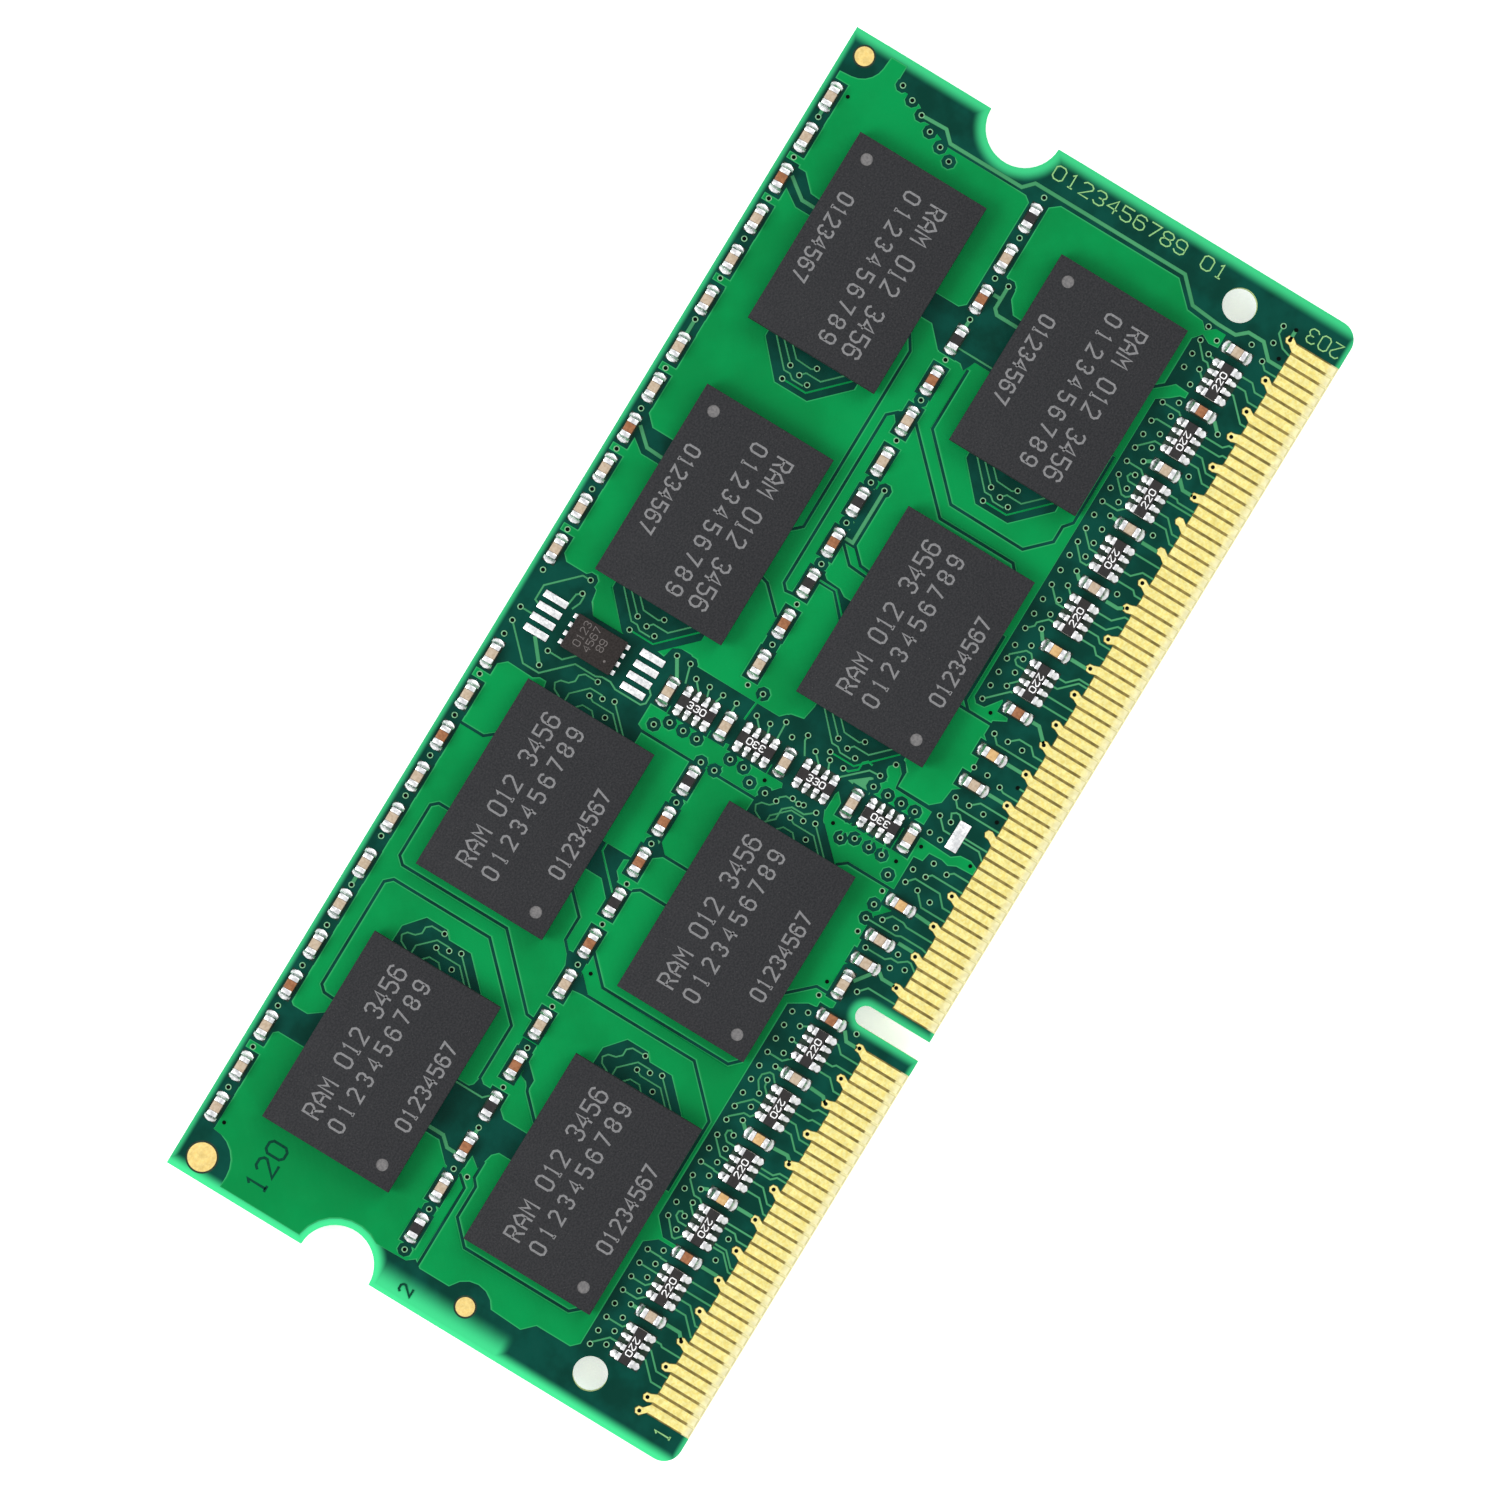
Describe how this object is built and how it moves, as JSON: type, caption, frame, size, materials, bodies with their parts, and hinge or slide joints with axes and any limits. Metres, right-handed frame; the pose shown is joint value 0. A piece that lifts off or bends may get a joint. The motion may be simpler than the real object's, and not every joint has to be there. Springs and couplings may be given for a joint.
{
  "type": "ram module",
  "caption": "Green small-outline memory module with black memory packages on both faces, rows of tiny resistors and capacitors, and a notched gold edge connector.",
  "frame": {"origin": "centre of the bounding box's footprint, on the flat faces of the back memory packages", "axes": "+X along the connector edge from pin 1 towards the last pin, +Y from the connector edge to the top edge, +Z out of the front face"},
  "size_m": [0.0676, 0.03, 0.0032],
  "materials": {
    "laminate": "glass-fibre epoxy, slightly translucent",
    "copper": "rolled copper under the mask",
    "solder_mask": "green solder mask, glossy",
    "gold": "gold-plated contact, satin",
    "bare_copper": "bare plated copper",
    "package_board": "dark package substrate",
    "silicon": "bare silicon, hidden inside the package",
    "solder": "bright solder",
    "tinned_metal": "tin-plated end metal",
    "ceramic_tan": "sintered tan ceramic",
    "ceramic_brown": "sintered brown ceramic",
    "ceramic_amber": "sintered amber ceramic",
    "alumina": "white alumina",
    "resistor_glass": "black glass over the resistor film",
    "mould": "charcoal moulding compound, fine grain"
  },
  "bodies": {
    "root": {"core_laminate": "laminate", "front_laminate": "laminate", "back_laminate": "laminate", "ground_plane": "copper", "power_plane": "copper", "via_barrels": "copper", "copper_front": "copper", "solder_mask_front": "solder_mask", "edge_contacts_front": "gold", "fiducial_marks_front": "bare_copper", "package_substrates_front": "package_board", "package_dies_front": "silicon", "solder_balls_front": "solder", "capacitors_tan_front": "ceramic_tan", "capacitors_brown_front": "ceramic_brown", "capacitors_amber_front": "ceramic_amber", "capacitor_ends_front": "tinned_metal", "resistor_bodies_front": "alumina", "resistor_coats_front": "resistor_glass", "resistor_ends_front": "tinned_metal", "solder_joints_front": "solder", "copper_back": "copper", "solder_mask_back": "solder_mask", "edge_contacts_back": "gold", "fiducial_marks_back": "bare_copper", "package_substrates_back": "package_board", "package_dies_back": "silicon", "solder_balls_back": "solder", "capacitors_tan_back": "ceramic_tan", "capacitors_brown_back": "ceramic_brown", "capacitors_amber_back": "ceramic_amber", "capacitor_ends_back": "tinned_metal", "resistor_bodies_back": "alumina", "resistor_coats_back": "resistor_glass", "resistor_ends_back": "tinned_metal", "solder_joints_back": "solder", "memory_mould_front_1": "mould", "memory_mould_front_2": "mould", "memory_mould_front_3": "mould", "memory_mould_front_4": "mould", "memory_mould_front_5": "mould", "memory_mould_front_6": "mould", "memory_mould_front_7": "mould", "memory_mould_front_8": "mould", "memory_mould_back_1": "mould", "memory_mould_back_2": "mould", "memory_mould_back_3": "mould", "memory_mould_back_4": "mould", "memory_mould_back_5": "mould", "memory_mould_back_6": "mould", "memory_mould_back_7": "mould", "memory_mould_back_8": "mould", "spare_pads": "tinned_metal", "settings_chip": "mould", "settings_chip_leads": "tinned_metal"}
  },
  "joints": []
}
